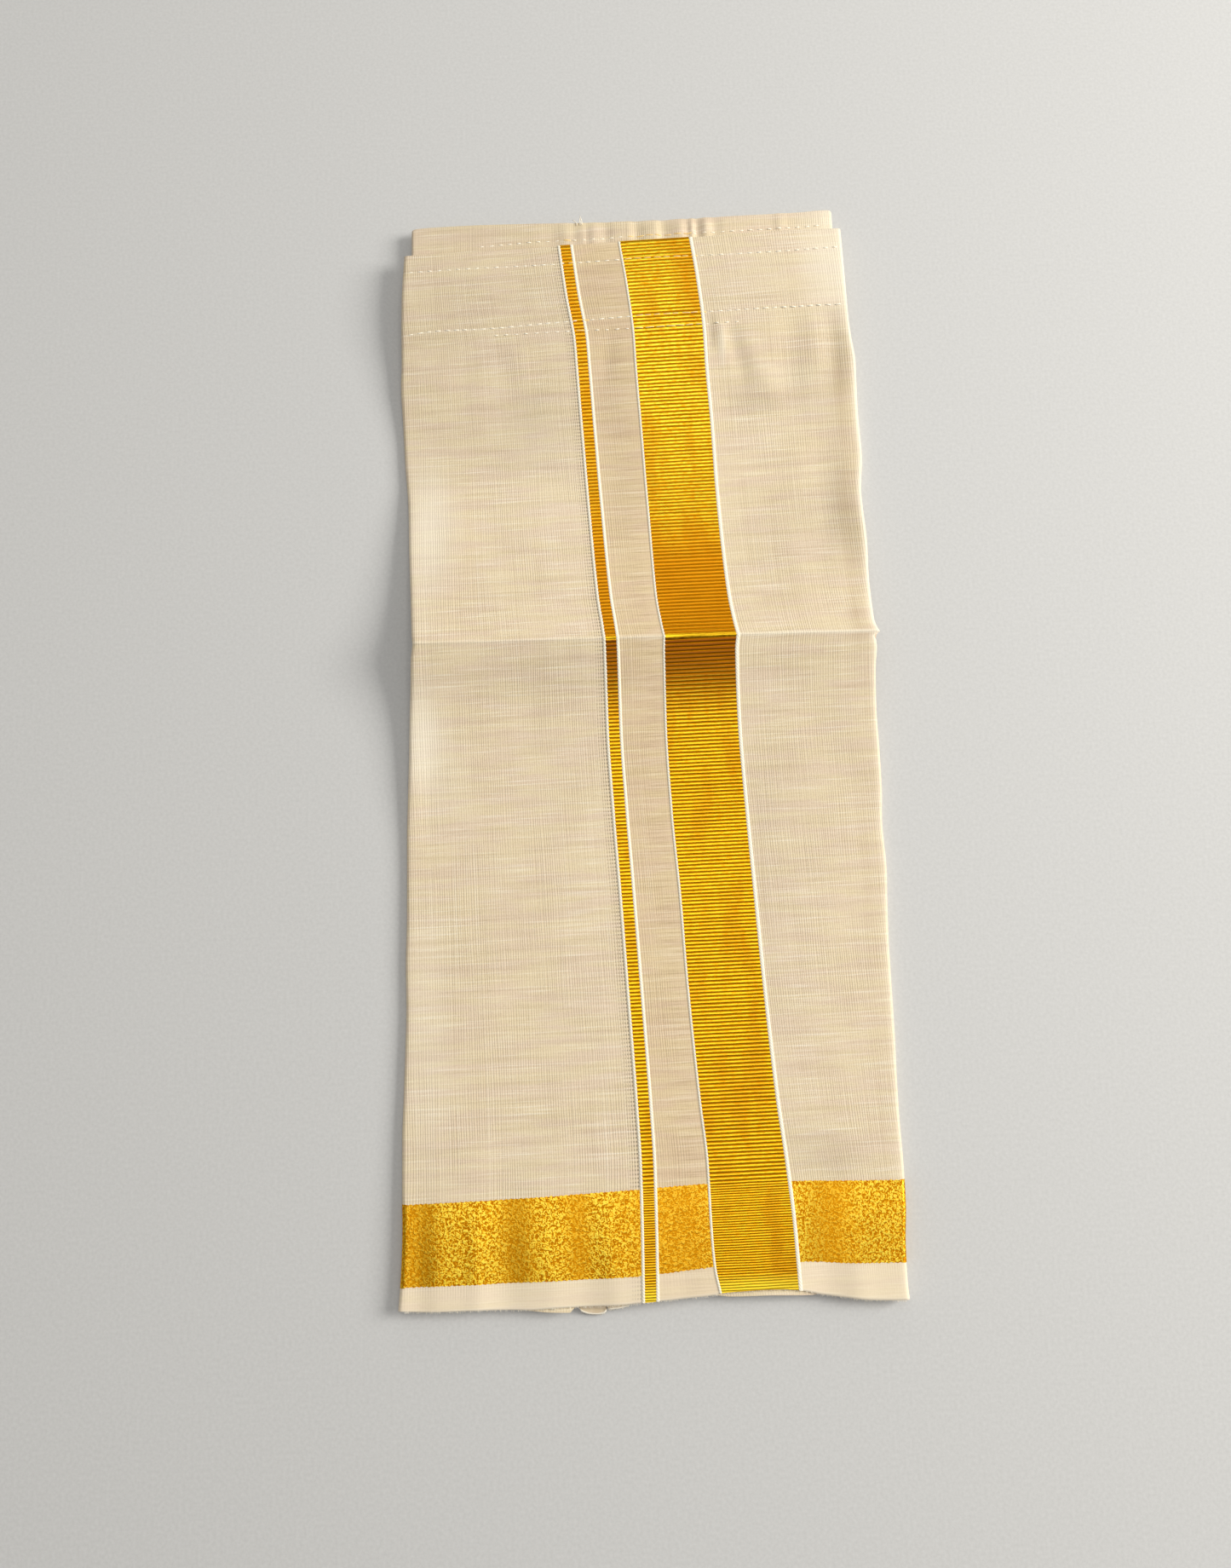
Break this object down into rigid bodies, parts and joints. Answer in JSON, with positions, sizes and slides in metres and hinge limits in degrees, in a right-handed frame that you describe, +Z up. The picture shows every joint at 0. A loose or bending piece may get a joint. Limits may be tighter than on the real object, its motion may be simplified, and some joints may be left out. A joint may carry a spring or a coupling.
{
  "type": "folded child's dhoti cloth",
  "caption": "Cream cotton dhoti for a child with lengthwise woven gold borders and a gold end band, folded flat, with a stitched waist casing and a cross crease.",
  "frame": {"origin": "under the middle of the folded cloth, on the surface that it rests on", "axes": "+Y from the hem to the waist, +X across the cloth towards the side with the wide border, +Z up"},
  "size_m": [0.1694, 0.3932, 0.0133],
  "materials": {
    "cotton": "plain woven unbleached cotton with fine lengthwise ribs, matt with a faint sheen",
    "zari": "crosswise ribs of metallic gold yarn between thick off-white cords",
    "zari_speckled": "metallic gold yarn, flat and speckled"
  },
  "bodies": {
    "root": {"front_cloth": "cotton", "front_casing": "cotton", "folded_layers": "cotton", "back_waist": "cotton", "under_hem": "cotton", "hem_corner": "cotton", "border_narrow": "zari", "border_wide": "zari", "end_band_left": "zari_speckled", "end_band_middle": "zari_speckled", "end_band_right": "zari_speckled"}
  },
  "joints": []
}
